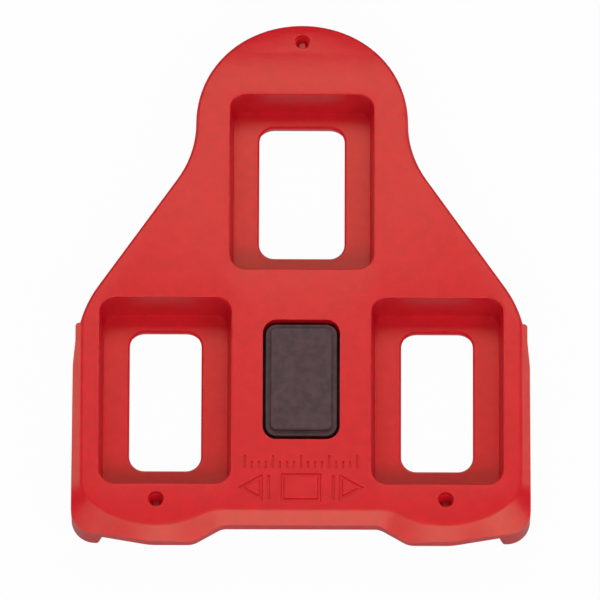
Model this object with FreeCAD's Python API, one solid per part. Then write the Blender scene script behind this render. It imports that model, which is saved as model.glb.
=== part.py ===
import FreeCAD, Part
import math
import os

V = FreeCAD.Vector

# A three bolt road cleat, lying shoe side down with its pedal face up.
# X runs across the cleat, +Y points to the nose, Z = 0 is the table it lies on.

# Plan outline
half_width = 32.7            # centre line to the outside of a side wing
face_half_width = 31.3       # centre line to the edge of the pedal face
nose_tip_y = 39.05
nose_radius = 15.2
shoulder_y = 19.1            # where the nose sides would meet the diagonals
shoulder_radius = 14.9
diagonal_deg = 34.6          # diagonals, measured from the Y axis
hip_half_width = 32.1        # the diagonals turn towards the wings here
hip_radius = 17.0
wing_start_y = -6.6
wing_barb_x = 32.25          # each wing starts with a small barb
wing_barb_radius = 0.4
wing_barb_length = 2.6
wing_side_y = -12.8          # the wings are nearly at their full width from here
wing_side_x = 32.6
tail_y = -36.65              # straight middle of the tail
tail_half_width = 11.2
lobe_y = -39.05
lobe_inner_x = 15.3
lobe_outer_x = 21.5
lobe_slope = 0.174
tail_corner_radius = 3.4

# Heights
face_z = 9.2
washer_seat_z = 3.0
tail_lip_z = 6.15            # underside of the tail lip
nose_lip_z = 5.4             # underside of the nose lip
nose_drop = 1.0              # how far the nose tip rolls down from the face
nose_roll_start_y = 29.2
sole_radius = 450.0          # fore and aft hollow of the shoe side
sole_centre_y = -1.1
sole_half_chord = 34.0
edge_round = 0.5

# Sloping border of the pedal face along the tail and the sides
border_deg = 30.0
border_reach = 5.5           # how far out the slope is cut, less than the inner radius
border_round = 1.2           # round between the face and the slope
border_tail_y = -34.6
border_side_radius = 4.0
border_inner_radius = 6.5
marker_x = 20.6
border_arc_y = -22.9         # the border swings round each rear marker
border_arc_radius = 14.0

# Undercuts that the pedal grips
nose_seat_radius = 15.0
nose_seat_y = 19.5
tail_seat_y = -33.4
foot_tip_x = 28.9            # corner feet that flank the tail undercut
foot_tip_y = -36.75
foot_inner_x = 26.8
foot_corner_radius = 3.4
foot_tip_radius = 0.5
foot_length = 6.0

# Bolt windows with their washer pockets
front_y = 14.85              # middle of the front pocket
rear_x = 19.4
rear_y = -16.75
front_pocket = (20.6, 26.5)  # size at the pedal face, across and along
rear_pocket = (18.8, 28.0)
pocket_radius = 2.3
wall_draft_deg = 5.0
rim_round = 0.25
front_window_y = 15.25
rear_window_y = -16.4
front_window = (12.1, 19.7)  # size at the washer seat
rear_window = (10.1, 20.7)
window_radius = 2.1
window_draft_deg = 12.0      # the windows open towards the shoe side
window_break = 0.35          # bevel round each window, on the washer seat

# Middle pad and the hole that holds it
pad_y = -15.1
pad_hole = (11.0, 18.0)
pad_hole_radius = 2.0
pad_plug = (10.1, 16.65)
pad_plug_radius = 1.5
pad_flange = 1.3             # how far the flange stands out past the hole
pad_gap = 0.35               # room round the flange
pad_flange_seat_z = 4.2      # ledge in the body that holds the flange
pad_flange_z = 1.8
pad_lip_z = 8.8              # lip round the raised middle of the pad
pad_lip = 0.65
pad_top_z = 9.6
pad_break = 0.15

# Marker dimples
dimple_radius = 1.12
rear_dimple_y = -33.1
nose_dimple_y = 36.3
rear_dimple_depth = 1.1
nose_dimple_depth = 0.7

# Coring of the shoe side
skin = 2.4                   # material left over each core
wall = 2.2                   # wall between a core and the next face
rib = 1.8
core_pitch = 10.4            # rib to rib
core_radius = 0.6
core_min_area = 7.0

PRISM_FOOT = -5.0            # below every solid, where a cutting tool starts
OVERSHOOT = 5.0              # how far a cutting tool passes the outside of the cleat


def corner_arc(before, corner, after, radius):
    """Arc that rounds one corner, as its start, middle and end."""
    to_before = (before - corner).normalize()
    to_after = (after - corner).normalize()
    half_angle = to_before.getAngle(to_after) / 2
    bisector = (to_before + to_after).normalize()
    centre = corner + bisector * (radius / math.sin(half_angle))
    reach = radius / math.tan(half_angle)
    return corner + to_before * reach, centre - bisector * radius, corner + to_after * reach


def rounded_wire(corners):
    """Closed outline through (x, y, radius) corners, rounded where radius is not 0."""
    points = [V(x, y, 0) for x, y, radius in corners]
    count = len(points)
    stretches = []
    for i, (x, y, radius) in enumerate(corners):
        if radius:
            stretches.append(corner_arc(points[i - 1], points[i], points[(i + 1) % count], radius))
        else:
            stretches.append((points[i],))
    edges = []
    for i, stretch in enumerate(stretches):
        if len(stretch) == 3:
            edges.append(Part.Arc(*stretch).toShape())
        following = stretches[(i + 1) % count][0]
        if stretch[-1].distanceToPoint(following) > 1e-6:
            edges.append(Part.LineSegment(stretch[-1], following).toShape())
    return Part.Wire(edges)


def mirror_corners(right_side):
    """Whole outline from its right half, given from the nose to the tail."""
    left_side = [(-x, y, radius) for x, y, radius in reversed(right_side)]
    return right_side + left_side


def prism(wire, low, high):
    face = Part.Face(wire)
    face.translate(V(0, 0, low))
    return face.extrude(V(0, 0, high - low))


def rounded_rectangle(size, radius, centre=(0, 0)):
    half_x = size[0] / 2
    half_y = size[1] / 2
    signs = [(1, 1), (1, -1), (-1, -1), (-1, 1)]
    return rounded_wire([(centre[0] + i * half_x, centre[1] + j * half_y, radius) for i, j in signs])


def drafted_block(size, radius, centre, level, low, high, draft_deg):
    """Rounded block that widens upwards and has the given size at one level."""
    wires = []
    for z in (low, high):
        growth = (z - level) * math.tan(math.radians(draft_deg))
        grown = (size[0] + 2 * growth, size[1] + 2 * growth)
        wire = rounded_rectangle(grown, radius + growth, centre)
        wire.translate(V(0, 0, z))
        wires.append(wire)
    return Part.makeLoft(wires, True, True)


def level_edges(shape, z):
    """Edges that lie flat at one height."""
    found = []
    for edge in shape.Edges:
        box = edge.BoundBox
        if abs(box.ZMin - z) < 1e-4 and abs(box.ZMax - z) < 1e-4:
            found.append(edge)
    return found


def hip_y():
    """Where a diagonal would meet the side of the body."""
    return shoulder_y - (hip_half_width - nose_radius) / math.tan(math.radians(diagonal_deg))


def body_outline():
    return rounded_wire(mirror_corners([
        (nose_radius, nose_tip_y, nose_radius),
        (nose_radius, shoulder_y, shoulder_radius),
        (hip_half_width, hip_y(), hip_radius),
        (hip_half_width, tail_seat_y, 0),
    ]))


def rear_outline():
    """Wings and tail: the wider rear part of the cleat, from the barbs to the lobes."""
    lobe_drop = (half_width - lobe_outer_x) * lobe_slope
    return rounded_wire(mirror_corners([
        (face_half_width, wing_start_y, 0),
        (wing_barb_x, wing_start_y, wing_barb_radius),
        (wing_barb_x, wing_start_y - wing_barb_length, 4.0),
        (wing_side_x, wing_side_y, 12.0),
        (half_width, lobe_y + lobe_drop, tail_corner_radius),
        (lobe_outer_x, lobe_y, 10.0),
        (lobe_inner_x, lobe_y, 3.0),
        (tail_half_width, tail_y, 2.6),
    ]))


def border_path():
    """Edge of the pedal face from the right wing round the tail to the left wing."""
    swing = V(marker_x, border_arc_y, 0)
    side = V(face_half_width - border_side_radius, 0, 0)
    side.y = swing.y - math.sqrt((border_arc_radius - border_side_radius) ** 2 - (side.x - swing.x) ** 2)
    inner = V(0, border_tail_y - border_inner_radius, 0)
    inner.x = swing.x - math.sqrt((border_arc_radius + border_inner_radius) ** 2 - (inner.y - swing.y) ** 2)
    outwards = (side - swing).normalize()
    inwards = (inner - swing).normalize()
    side_mid = side + (outwards + V(1, 0, 0)).normalize() * border_side_radius
    inner_mid = inner + (V(0, 1, 0) - inwards).normalize() * border_inner_radius
    stretches = [
        (V(face_half_width, wing_start_y, 0), V(face_half_width, side.y, 0)),
        (V(face_half_width, side.y, 0), side_mid, swing + outwards * border_arc_radius),
        (swing + outwards * border_arc_radius, swing - V(0, border_arc_radius, 0),
         swing + inwards * border_arc_radius),
        (swing + inwards * border_arc_radius, inner_mid, V(inner.x, border_tail_y, 0)),
        (V(inner.x, border_tail_y, 0), V(0, border_tail_y, 0)),
    ]
    right = [Part.Arc(*ends).toShape() if len(ends) == 3 else Part.LineSegment(*ends).toShape()
             for ends in stretches]
    left = [edge.mirror(V(0, 0, 0), V(1, 0, 0)) for edge in right]
    return Part.Wire(Part.__sortEdges__(right + left))


def border_waste():
    """What a form cutter with a rounded corner takes off along the border of the pedal face."""
    slope = math.radians(border_deg)
    lead = border_round * math.tan(slope / 2)
    start = V(-lead, 0, 0)
    middle = V(-lead + border_round * math.sin(slope / 2), 0, -border_round * (1 - math.cos(slope / 2)))
    end = V(lead * math.cos(slope), 0, -lead * math.sin(slope))
    low = V(border_reach, 0, -border_reach * math.tan(slope))
    edges = [Part.Arc(start, middle, end).toShape(), Part.LineSegment(end, low).toShape()]
    corners = [low, V(border_reach, 0, 1), V(-lead, 0, 1), start]
    edges += [Part.LineSegment(corners[i], corners[i + 1]).toShape() for i in range(3)]
    profile = Part.Wire(edges)
    profile.translate(V(face_half_width, wing_start_y, face_z))
    path = border_path()
    path.translate(V(0, 0, face_z))
    return path.makePipeShell([profile], True, False)


def nose_roll():
    """Waste above the rolled nose: over a cylinder that is tangent to the face."""
    run = nose_tip_y - nose_roll_start_y
    radius = (run ** 2 + nose_drop ** 2) / (2 * nose_drop)
    width = 2 * (half_width + OVERSHOOT)
    block = Part.makeBox(width, 2 * run, radius, V(-width / 2, nose_roll_start_y, face_z - 2 * nose_drop))
    roller = Part.makeCylinder(radius, width, V(-width / 2, nose_roll_start_y, face_z - radius), V(1, 0, 0))
    return block.cut(roller)


def blank():
    """Solid cleat before its pockets, with the pedal face, its slopes and its rounded nose."""
    front = prism(body_outline(), 0, face_z).cut(nose_roll())
    rim = [edge for edge in front.Edges if edge.BoundBox.ZMin > face_z - 2 * nose_drop
           and edge.CenterOfMass.y > wing_start_y and abs(edge.CenterOfMass.x) > 0.1]
    front = front.makeFillet(edge_round, rim)
    rear = prism(rear_outline(), 0, face_z)
    return front.fuse(rear).removeSplitter().cut(border_waste())


def sole_hollow():
    """Cylinder that hollows the shoe side from nose to tail."""
    rise = sole_radius - math.sqrt(sole_radius ** 2 - sole_half_chord ** 2)
    width = 2 * (half_width + OVERSHOOT)
    start = V(-width / 2, sole_centre_y, rise - sole_radius)
    return Part.makeCylinder(sole_radius, width, start, V(1, 0, 0))


def nose_undercut():
    """Crescent under the nose lip that a pedal's front hook fills."""
    width = 2 * half_width
    block = Part.makeBox(width, nose_tip_y - nose_seat_y + OVERSHOOT, nose_lip_z - PRISM_FOOT,
                         V(-width / 2, nose_seat_y, PRISM_FOOT))
    seat = Part.makeCylinder(nose_seat_radius, nose_lip_z - PRISM_FOOT, V(0, nose_seat_y, PRISM_FOOT))
    return block.cut(seat)


def tail_undercut():
    """Step under the tail lip for a pedal's rear jaw, between two corner feet."""
    start_y = tail_seat_y + foot_length
    kept = rounded_wire(mirror_corners([
        (half_width, start_y, 0),
        (half_width, foot_tip_y, foot_corner_radius),
        (foot_tip_x, foot_tip_y, foot_tip_radius),
        (foot_inner_x, tail_seat_y, 1.2),
    ]))
    width = 2 * (half_width + OVERSHOOT)
    low_y = lobe_y - OVERSHOOT
    block = Part.makeBox(width, start_y - low_y, tail_lip_z - PRISM_FOOT, V(-width / 2, low_y, PRISM_FOOT))
    return block.cut(prism(kept, PRISM_FOOT, tail_lip_z))


def pockets():
    """Centre and size at the pedal face of each of the three washer pockets."""
    return [((0, front_y), front_pocket), ((-rear_x, rear_y), rear_pocket), ((rear_x, rear_y), rear_pocket)]


def windows():
    """Centre and size at the washer seat of each of the three bolt windows."""
    return [
        ((0, front_window_y), front_window),
        ((-rear_x, rear_window_y), rear_window),
        ((rear_x, rear_window_y), rear_window),
    ]


def washer_pocket(centre, size):
    return drafted_block(size, pocket_radius, centre, face_z, washer_seat_z, face_z + 1, wall_draft_deg)


def bolt_window(centre, size):
    top = washer_seat_z + 1
    return drafted_block(size, window_radius, centre, washer_seat_z, 0, top, -window_draft_deg)


def grown(size, margin):
    return size[0] + 2 * margin, size[1] + 2 * margin


def pad_cavity():
    """Hole for the pad, with a wider recess for its flange on the shoe side."""
    centre = (0, pad_y)
    hole = prism(rounded_rectangle(pad_hole, pad_hole_radius, centre), PRISM_FOOT, face_z + 1)
    reach = pad_flange + pad_gap
    recess = rounded_rectangle(grown(pad_hole, reach), pad_hole_radius + reach, centre)
    return hole.fuse(prism(recess, PRISM_FOOT, pad_flange_seat_z))


def dimple(x, y, surface_z, depth):
    return Part.makeCylinder(dimple_radius, depth + 1, V(x, y, surface_z - depth))


def dimples():
    run = nose_tip_y - nose_roll_start_y
    nose_z = face_z - nose_drop * ((nose_dimple_y - nose_roll_start_y) / run) ** 2
    return [
        dimple(0, nose_dimple_y, nose_z, nose_dimple_depth),
        dimple(-marker_x, rear_dimple_y, face_z, rear_dimple_depth),
        dimple(marker_x, rear_dimple_y, face_z, rear_dimple_depth),
    ]


def core_cells(field, low, high):
    """Pockets of a rib grid that fills one area, clipped to the field and with round corners."""
    cells = []
    size = core_pitch - rib
    for column in range(math.ceil((high[0] - low[0]) / core_pitch)):
        for row in range(math.ceil((high[1] - low[1]) / core_pitch)):
            corner = V(low[0] + column * core_pitch, low[1] + row * core_pitch, 0)
            length_x = min(size, high[0] - corner.x)
            length_y = min(size, high[1] - corner.y)
            for face in Part.makePlane(length_x, length_y, corner).common(field).Faces:
                box = face.BoundBox
                if face.Area > core_min_area and min(box.XLength, box.YLength) > 4 * core_radius:
                    rounded = face.makeOffset2D(-core_radius).makeOffset2D(core_radius)
                    cells.append(rounded.extrude(V(0, 0, face_z - skin)))
    return cells


def cores():
    """Coring of the thick flanks beside the front pocket and of the bar at the tail."""
    field = Part.Face(body_outline()).makeOffset2D(-wall)
    for centre, size in pockets():
        field = field.cut(Part.Face(rounded_rectangle(grown(size, wall), pocket_radius + wall, centre)))
    flank_low = (front_pocket[0] / 2 + wall, rear_y + rear_pocket[1] / 2 + wall)
    bar_half = rear_x - rear_pocket[0] / 2 - wall
    pad_end = pad_y - pad_hole[1] / 2 - pad_flange - pad_gap - wall
    right = core_cells(field, flank_low, (face_half_width, nose_seat_y))
    right += core_cells(field, (rib / 2, tail_seat_y + wall), (bar_half, pad_end))
    left = [cell.mirror(V(0, 0, 0), V(1, 0, 0)) for cell in right]
    return right + left


def rim_edges(body, z, openings):
    """Edges at one height that run round the given openings, and no further out than a millimetre."""
    found = []
    for centre, size in openings:
        half_x, half_y = grown(size, 1)
        found += [edge for edge in level_edges(body, z)
                  if abs(edge.CenterOfMass.x - centre[0]) < half_x / 2
                  and abs(edge.CenterOfMass.y - centre[1]) < half_y / 2]
    return found


def cleat_body():
    body = blank().cut([sole_hollow(), nose_undercut(), tail_undercut(), pad_cavity()])
    body = body.cut([washer_pocket(centre, size) for centre, size in pockets()])
    body = body.cut([bolt_window(centre, size) for centre, size in windows()])
    body = body.cut(dimples() + cores()).removeSplitter()
    body = body.makeFillet(rim_round, rim_edges(body, face_z, pockets()))
    return body.makeChamfer(window_break, rim_edges(body, washer_seat_z, windows()))


def centre_pad():
    """Rubber plug with a raised middle, held from below by its flange."""
    centre = (0, pad_y)
    flange = rounded_rectangle(grown(pad_hole, pad_flange), pad_hole_radius + pad_flange, centre)
    plug = rounded_rectangle(pad_plug, pad_plug_radius, centre)
    raised = rounded_rectangle(grown(pad_plug, -pad_lip), pad_plug_radius - pad_lip, centre)
    pad = prism(flange, pad_flange_z, pad_flange_seat_z).fuse(prism(plug, pad_flange_z, pad_lip_z))
    pad = pad.fuse(prism(raised, pad_flange_z, pad_top_z)).removeSplitter()
    return pad.makeChamfer(pad_break, level_edges(pad, pad_top_z))


def main():
    os.makedirs("parts", exist_ok=True)
    for name, shape in (("cleat_body", cleat_body()), ("centre_pad", centre_pad())):
        shape.exportStep("parts/" + name + ".step")
        print(name, shape.isValid(), len(shape.Solids), round(shape.Volume, 1), shape.BoundBox)


main()
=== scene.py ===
import math

import bmesh
import bpy
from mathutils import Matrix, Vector


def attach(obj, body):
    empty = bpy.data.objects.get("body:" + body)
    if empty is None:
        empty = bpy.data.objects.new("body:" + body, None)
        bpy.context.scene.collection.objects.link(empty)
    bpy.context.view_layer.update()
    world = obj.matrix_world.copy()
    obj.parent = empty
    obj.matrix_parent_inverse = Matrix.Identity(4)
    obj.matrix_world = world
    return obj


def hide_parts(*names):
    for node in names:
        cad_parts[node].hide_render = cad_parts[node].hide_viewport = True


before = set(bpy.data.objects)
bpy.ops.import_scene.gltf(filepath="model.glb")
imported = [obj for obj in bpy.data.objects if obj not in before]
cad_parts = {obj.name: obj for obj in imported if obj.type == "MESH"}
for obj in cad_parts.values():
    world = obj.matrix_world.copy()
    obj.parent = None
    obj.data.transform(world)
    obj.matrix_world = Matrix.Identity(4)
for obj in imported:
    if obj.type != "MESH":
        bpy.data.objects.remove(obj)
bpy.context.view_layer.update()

MM = 0.001

# Camera: a long lens, tilted from straight above towards the tail
TILT_DEG = 19.2
CAMERA_DISTANCE = 2.0
PIXELS_PER_METRE = 6971.0
FRAME_PIXELS = 600
TARGET = Vector((-0.00022, 0.00005, 0.0))
ROLL_DEG = 0.2

FLOOR_SIZE = 3.0
FLOOR_GLOW = 0.975    # share of plain white that the lens sees
MIRRORED_GLOW = 0.1   # the same, as seen in reflections and through clear pieces

# Studio: sky brightness from the horizon (0) to straight overhead (1), and
# softboxes as size and place in metres and power in watts
SKY = [(0.0, 0.1), (0.5, 0.05), (0.8, 0.05), (0.93, 0.05), (1.0, 0.1)]
SOFTBOXES = {
    "top_box": ((0.2, 0.2), (0.0, -0.08, 0.45), 0.18),
    "nose_box": ((0.24, 0.12), (0.0, 0.155, 0.27), 0.35),
    "tail_box": ((0.22, 0.15), (0.0, -0.33, 0.38), 0.8),
    "right_corner_box": ((0.14, 0.14), (0.22, -0.22, 0.32), 0.56),
    "left_corner_box": ((0.14, 0.14), (-0.22, -0.22, 0.32), 0.3),
    "right_side_box": ((0.14, 0.14), (0.37, 0.15, 0.21), 0.35),
    "left_side_box": ((0.14, 0.14), (-0.37, 0.12, 0.21), 0.36),
}

# Moulded red plastic: two shades for its faint clouds, then the grain
PLASTIC_DARK = (0.515, 0.0049, 0.0143, 1)
PLASTIC_LIGHT = (0.57, 0.0058, 0.0162, 1)
PLASTIC_ROUGHNESS = 0.34
PLASTIC_SPECULAR = 0.34
PLASTIC_SPECULAR_TINT = (1.0, 0.93, 0.6, 1.0)
PLASTIC_CLOUD_SCALE = 700.0
PLASTIC_GRAIN = {"scale": 2600.0, "strength": 0.25, "distance": 0.06 * MM}

# Dark rubber, the same way
RUBBER_DARK = (0.037, 0.0125, 0.0155, 1)
RUBBER_LIGHT = (0.063, 0.024, 0.0275, 1)
RUBBER_ROUGHNESS = 0.6
RUBBER_CLOUD_SCALE = 900.0
RUBBER_GRAIN = {"scale": 3200.0, "strength": 0.2, "distance": 0.08 * MM}

CLOUD_DETAIL = 8.0
GRAIN_DETAIL = 4.0
CLOUD_EDGES = (0.35, 0.65)   # noise values where the two shades are reached

# Engraved marks on the pedal face: a plain scale over a box, two bars and two arrowheads
FACE_Z = 9.2 * MM
GROOVE_DEPTH = 0.24 * MM
GROOVE_WIDTH = 0.5 * MM
GROOVE_FOOT = 0.3            # half width of a groove's floor, as a share of its width
BOX_HALF_WIDTH = 2.6 * MM
SIGN_TOP_Y = -29.5 * MM
SIGN_LOW_Y = -33.2 * MM
BAR_X = 4.6 * MM
ARROW_BASE_X = 5.7 * MM
ARROW_TIP_X = 8.5 * MM
ARROW_HALF = 1.6 * MM
TICK_PITCH = 1.0 * MM
TICKS_EACH_SIDE = 8
TICKS_PER_LONG = 4
TICK_WIDTH = 0.4 * MM
TICK_LONG = 2.0 * MM
TICK_SHORT = 1.1 * MM
TICK_LOW_Y = -28.5 * MM

# Drill points in the three marker dimples, from the floor of each dimple down
FRONT_DIMPLE_Y = 36.3 * MM
FRONT_DIMPLE_Z = 7.98 * MM
REAR_DIMPLE_X = 20.6 * MM
REAR_DIMPLE_Y = -33.1 * MM
REAR_DIMPLE_Z = 8.1 * MM
DIMPLE_FLOORS = [(0.0, FRONT_DIMPLE_Y, FRONT_DIMPLE_Z),
                 (-REAR_DIMPLE_X, REAR_DIMPLE_Y, REAR_DIMPLE_Z),
                 (REAR_DIMPLE_X, REAR_DIMPLE_Y, REAR_DIMPLE_Z)]
PIT_RADIUS = 1.0 * MM
PIT_TIP_RADIUS = 0.45 * MM
PIT_DEPTH = 1.0 * MM
PIT_LEAD = 0.1 * MM          # how far a pit's cutter starts above the dimple's floor
PIT_SIDES = 28

WELD = 0.0001 * MM           # points closer than this are joined before the cut
SHARP_DEG = 32.0             # edges sharper than this keep their shading break


def new_material(name):
    material = bpy.data.materials.new(name)
    material.use_nodes = True
    return material, material.node_tree.nodes, material.node_tree.links


def add_noise(nodes, links, scale, detail):
    coordinates = nodes.new("ShaderNodeTexCoord")
    noise = nodes.new("ShaderNodeTexNoise")
    noise.inputs["Scale"].default_value = scale
    noise.inputs["Detail"].default_value = detail
    links.new(coordinates.outputs["Object"], noise.inputs["Vector"])
    return noise


def add_tone(nodes, links, noise, dark, light):
    """Colour that wanders between two shades with a noise."""
    tone = nodes.new("ShaderNodeValToRGB")
    for stop, position, color in zip(tone.color_ramp.elements, CLOUD_EDGES, (dark, light)):
        stop.position = position
        stop.color = color
    links.new(noise.outputs["Fac"], tone.inputs["Fac"])
    return tone


def add_grain(nodes, links, scale, strength, distance):
    """Fine bump of a moulded surface."""
    grain = add_noise(nodes, links, scale, GRAIN_DETAIL)
    bump = nodes.new("ShaderNodeBump")
    bump.inputs["Strength"].default_value = strength
    bump.inputs["Distance"].default_value = distance
    links.new(grain.outputs["Fac"], bump.inputs["Height"])
    return bump


def body_plastic():
    """Glass filled nylon, dyed right through: satin with a fine moulded grain."""
    material, nodes, links = new_material("red_nylon")
    shader = nodes["Principled BSDF"]
    shader.inputs["Roughness"].default_value = PLASTIC_ROUGHNESS
    shader.inputs["IOR"].default_value = 1.5
    shader.inputs["Specular IOR Level"].default_value = PLASTIC_SPECULAR
    shader.inputs["Specular Tint"].default_value = PLASTIC_SPECULAR_TINT
    clouds = add_noise(nodes, links, PLASTIC_CLOUD_SCALE, CLOUD_DETAIL)
    tone = add_tone(nodes, links, clouds, PLASTIC_DARK, PLASTIC_LIGHT)
    links.new(tone.outputs["Color"], shader.inputs["Base Color"])
    bump = add_grain(nodes, links, **PLASTIC_GRAIN)
    links.new(bump.outputs["Normal"], shader.inputs["Normal"])
    return material


def pad_rubber():
    """Matt dark rubber with a fine grain."""
    material, nodes, links = new_material("dark_rubber")
    shader = nodes["Principled BSDF"]
    shader.inputs["Roughness"].default_value = RUBBER_ROUGHNESS
    clouds = add_noise(nodes, links, RUBBER_CLOUD_SCALE, CLOUD_DETAIL)
    tone = add_tone(nodes, links, clouds, RUBBER_DARK, RUBBER_LIGHT)
    links.new(tone.outputs["Color"], shader.inputs["Base Color"])
    bump = add_grain(nodes, links, **RUBBER_GRAIN)
    links.new(bump.outputs["Normal"], shader.inputs["Normal"])
    return material


def prism(loops):
    """Closed cutter between an upper loop of points and a lower one."""
    mesh = bmesh.new()
    rings = [[mesh.verts.new(point) for point in loop] for loop in loops]
    count = len(loops[0])
    for i in range(count):
        j = (i + 1) % count
        mesh.faces.new((rings[0][i], rings[0][j], rings[1][j], rings[1][i]))
    mesh.faces.new(list(reversed(rings[0])))
    mesh.faces.new(rings[1])
    return mesh


def groove_ring(corners):
    """Cutter for a groove that runs round a closed outline with mitred corners."""
    count = len(corners)
    mitres = []
    for i, corner in enumerate(corners):
        before = (corner - corners[i - 1]).normalized()
        after = (corners[(i + 1) % count] - corner).normalized()
        outwards = (Vector((before.y, -before.x)) + Vector((after.y, -after.x))).normalized()
        mitres.append(outwards / outwards.dot(Vector((after.y, -after.x))))
    mesh = bmesh.new()
    levels = [(0.5, FACE_Z), (0.5, FACE_Z + GROOVE_DEPTH),
              (-0.5, FACE_Z + GROOVE_DEPTH), (-0.5, FACE_Z),
              (-GROOVE_FOOT, FACE_Z - GROOVE_DEPTH), (GROOVE_FOOT, FACE_Z - GROOVE_DEPTH)]
    rings = []
    for share, z in levels:
        points = [corner + mitre * GROOVE_WIDTH * share
                  for corner, mitre in zip(corners, mitres)]
        rings.append([mesh.verts.new((point.x, point.y, z)) for point in points])
    for k, ring in enumerate(rings):
        following = rings[(k + 1) % len(rings)]
        for i in range(count):
            j = (i + 1) % count
            mesh.faces.new((ring[i], ring[j], following[j], following[i]))
    return mesh


def groove_line(x, low_y, high_y, width):
    """Cutter for one straight groove along Y."""
    top = (width / 2, 0.0, FACE_Z + GROOVE_DEPTH)
    foot = (width * GROOVE_FOOT, width * (0.5 - GROOVE_FOOT), FACE_Z - GROOVE_DEPTH)
    loops = []
    for half, inset, z in (top, foot):
        loops.append([(x - half, low_y + inset, z), (x + half, low_y + inset, z),
                      (x + half, high_y - inset, z), (x - half, high_y - inset, z)])
    return prism(loops)


def sign_cutters():
    """Box, bars and arrowheads that show how the cleat may swing on its pedal."""
    box = [Vector(corner) for corner in ((-BOX_HALF_WIDTH, SIGN_LOW_Y), (BOX_HALF_WIDTH, SIGN_LOW_Y),
                                         (BOX_HALF_WIDTH, SIGN_TOP_Y), (-BOX_HALF_WIDTH, SIGN_TOP_Y))]
    cutters = [groove_ring(box)]
    middle_y = (SIGN_LOW_Y + SIGN_TOP_Y) / 2
    for side in (-1, 1):
        cutters.append(groove_line(side * BAR_X, SIGN_LOW_Y, SIGN_TOP_Y, GROOVE_WIDTH))
        arrow = [Vector((side * ARROW_BASE_X, middle_y - side * ARROW_HALF)),
                 Vector((side * ARROW_TIP_X, middle_y)),
                 Vector((side * ARROW_BASE_X, middle_y + side * ARROW_HALF))]
        cutters.append(groove_ring(arrow))
    return cutters


def scale_cutters():
    """Plain tick scale between the pad and the sign."""
    cutters = []
    for step in range(-TICKS_EACH_SIDE, TICKS_EACH_SIDE + 1):
        length = TICK_SHORT if step % TICKS_PER_LONG else TICK_LONG
        cutters.append(groove_line(step * TICK_PITCH, TICK_LOW_Y, TICK_LOW_Y + length, TICK_WIDTH))
    return cutters


def pit_cutters():
    """Tapered drill point under each marker dimple."""
    turns = [2 * math.pi * k / PIT_SIDES for k in range(PIT_SIDES)]
    cutters = []
    for x, y, floor_z in DIMPLE_FLOORS:
        loops = []
        for radius, z in ((PIT_RADIUS, floor_z + PIT_LEAD), (PIT_TIP_RADIUS, floor_z - PIT_DEPTH)):
            loops.append([(x + radius * math.cos(turn), y + radius * math.sin(turn), z)
                          for turn in turns])
        cutters.append(prism(loops))
    return cutters


def cutter_object(meshes):
    """One object out of all the cutters."""
    joined = bmesh.new()
    for part in meshes:
        bmesh.ops.recalc_face_normals(part, faces=part.faces)
        data = bpy.data.meshes.new("cut")
        part.to_mesh(data)
        joined.from_mesh(data)
        bpy.data.meshes.remove(data)
        part.free()
    data = bpy.data.meshes.new("marks")
    joined.to_mesh(data)
    joined.free()
    item = bpy.data.objects.new("marks", data)
    bpy.context.collection.objects.link(item)
    return item


def smooth_below(data, degrees):
    """Smooth shading across the edges that turn by less than the given angle."""
    mesh = bmesh.new()
    mesh.from_mesh(data)
    for face in mesh.faces:
        face.smooth = True
    for edge in mesh.edges:
        edge.smooth = edge.is_manifold and edge.calc_face_angle(0) < math.radians(degrees)
    mesh.to_mesh(data)
    mesh.free()


def moulding(material):
    """A copy of the CAD body with the marks and drill points cut into it."""
    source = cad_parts["cleat_body"]
    mesh = bmesh.new()
    mesh.from_mesh(source.data)
    bmesh.ops.remove_doubles(mesh, verts=mesh.verts, dist=WELD)
    data = bpy.data.meshes.new("cleat_moulding")
    mesh.to_mesh(data)
    mesh.free()
    piece = bpy.data.objects.new("cleat_moulding", data)
    bpy.context.collection.objects.link(piece)
    marks = cutter_object(sign_cutters() + scale_cutters() + pit_cutters())
    cut = piece.modifiers.new("marks", "BOOLEAN")
    cut.operation = "DIFFERENCE"
    cut.solver = "EXACT"
    cut.object = marks
    bpy.context.view_layer.update()
    done = bpy.data.meshes.new_from_object(piece.evaluated_get(bpy.context.evaluated_depsgraph_get()))
    piece.modifiers.clear()
    piece.data = done
    bpy.data.objects.remove(marks)
    done.materials.clear()
    done.materials.append(material)
    smooth_below(done, SHARP_DEG)
    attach(piece, "root")
    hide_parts("cleat_body")


def dress_pad(material):
    """The pad keeps its CAD mesh and only takes the material."""
    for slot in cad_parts["centre_pad"].material_slots:
        slot.material = material


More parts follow.
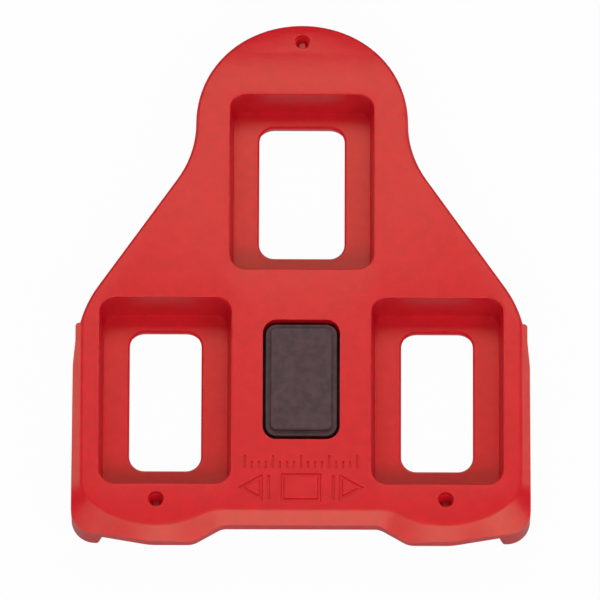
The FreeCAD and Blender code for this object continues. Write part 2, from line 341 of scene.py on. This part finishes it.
def floor():
    """Plain white floor that shines at the lens and keeps a faint shadow of the cleat."""
    bpy.ops.mesh.primitive_plane_add(size=FLOOR_SIZE)
    plane = bpy.context.object
    plane.name = "floor"
    material, nodes, links = new_material("studio_white")
    shader = nodes["Principled BSDF"]
    shader.inputs["Base Color"].default_value = (0.5, 0.5, 0.5, 1)
    shader.inputs["Roughness"].default_value = 0.9
    glow = nodes.new("ShaderNodeEmission")
    glow.inputs["Strength"].default_value = 1.0
    rays = nodes.new("ShaderNodeLightPath")
    shares = []
    for kind, glow_share in (("Is Camera Ray", FLOOR_GLOW), ("Is Glossy Ray", MIRRORED_GLOW),
                             ("Is Transmission Ray", MIRRORED_GLOW)):
        share = nodes.new("ShaderNodeMath")
        share.operation = "MULTIPLY"
        share.inputs[1].default_value = glow_share
        links.new(rays.outputs[kind], share.inputs[0])
        shares.append(share)
    amount = shares[0]
    for share in shares[1:]:
        larger = nodes.new("ShaderNodeMath")
        larger.operation = "MAXIMUM"
        links.new(amount.outputs["Value"], larger.inputs[0])
        links.new(share.outputs["Value"], larger.inputs[1])
        amount = larger
    mix = nodes.new("ShaderNodeMixShader")
    links.new(amount.outputs["Value"], mix.inputs["Fac"])
    links.new(shader.outputs["BSDF"], mix.inputs[1])
    links.new(glow.outputs["Emission"], mix.inputs[2])
    links.new(mix.outputs["Shader"], nodes["Material Output"].inputs["Surface"])
    plane.data.materials.append(material)


def softbox(name, size, place, power):
    """Area light that faces the middle of the cleat."""
    data = bpy.data.lights.new(name, "AREA")
    data.shape = "RECTANGLE"
    data.size, data.size_y = size
    data.energy = power
    lamp = bpy.data.objects.new(name, data)
    bpy.context.collection.objects.link(lamp)
    lamp.location = place
    lamp.rotation_euler = (-Vector(place)).to_track_quat("-Z", "Y").to_euler()


def sky():
    """Light tent: dim and soft all round, a little brighter low down and straight overhead."""
    world = bpy.data.worlds.new("studio")
    bpy.context.scene.world = world
    world.use_nodes = True
    nodes, links = world.node_tree.nodes, world.node_tree.links
    coordinates = nodes.new("ShaderNodeTexCoord")
    parts = nodes.new("ShaderNodeSeparateXYZ")
    ramp = nodes.new("ShaderNodeValToRGB")
    links.new(coordinates.outputs["Generated"], parts.inputs["Vector"])
    links.new(parts.outputs["Z"], ramp.inputs["Fac"])
    points = ramp.color_ramp.elements
    while len(points) < len(SKY):
        points.new(0.5)
    for point, (position, value) in zip(points, SKY):
        point.position = position
        point.color = (value, value, value, 1)
    links.new(ramp.outputs["Color"], nodes["Background"].inputs["Color"])


def camera():
    """Long lens whose field at the cleat is the photo's width."""
    data = bpy.data.cameras.new("camera")
    data.sensor_width = 36.0
    field = FRAME_PIXELS / PIXELS_PER_METRE
    data.lens = data.sensor_width * CAMERA_DISTANCE / field
    data.clip_start = 0.1
    data.clip_end = 20
    item = bpy.data.objects.new("camera", data)
    bpy.context.collection.objects.link(item)
    tilt = math.radians(TILT_DEG)
    item.location = TARGET + CAMERA_DISTANCE * Vector((0, -math.sin(tilt), math.cos(tilt)))
    item.rotation_euler = (tilt, 0, 0)
    item.rotation_euler.rotate_axis("Z", math.radians(ROLL_DEG))
    bpy.context.scene.camera = item


moulding(body_plastic())
dress_pad(pad_rubber())
floor()
for box_name, box in SOFTBOXES.items():
    softbox(box_name, *box)
sky()
camera()
bpy.context.scene.view_settings.view_transform = "Standard"
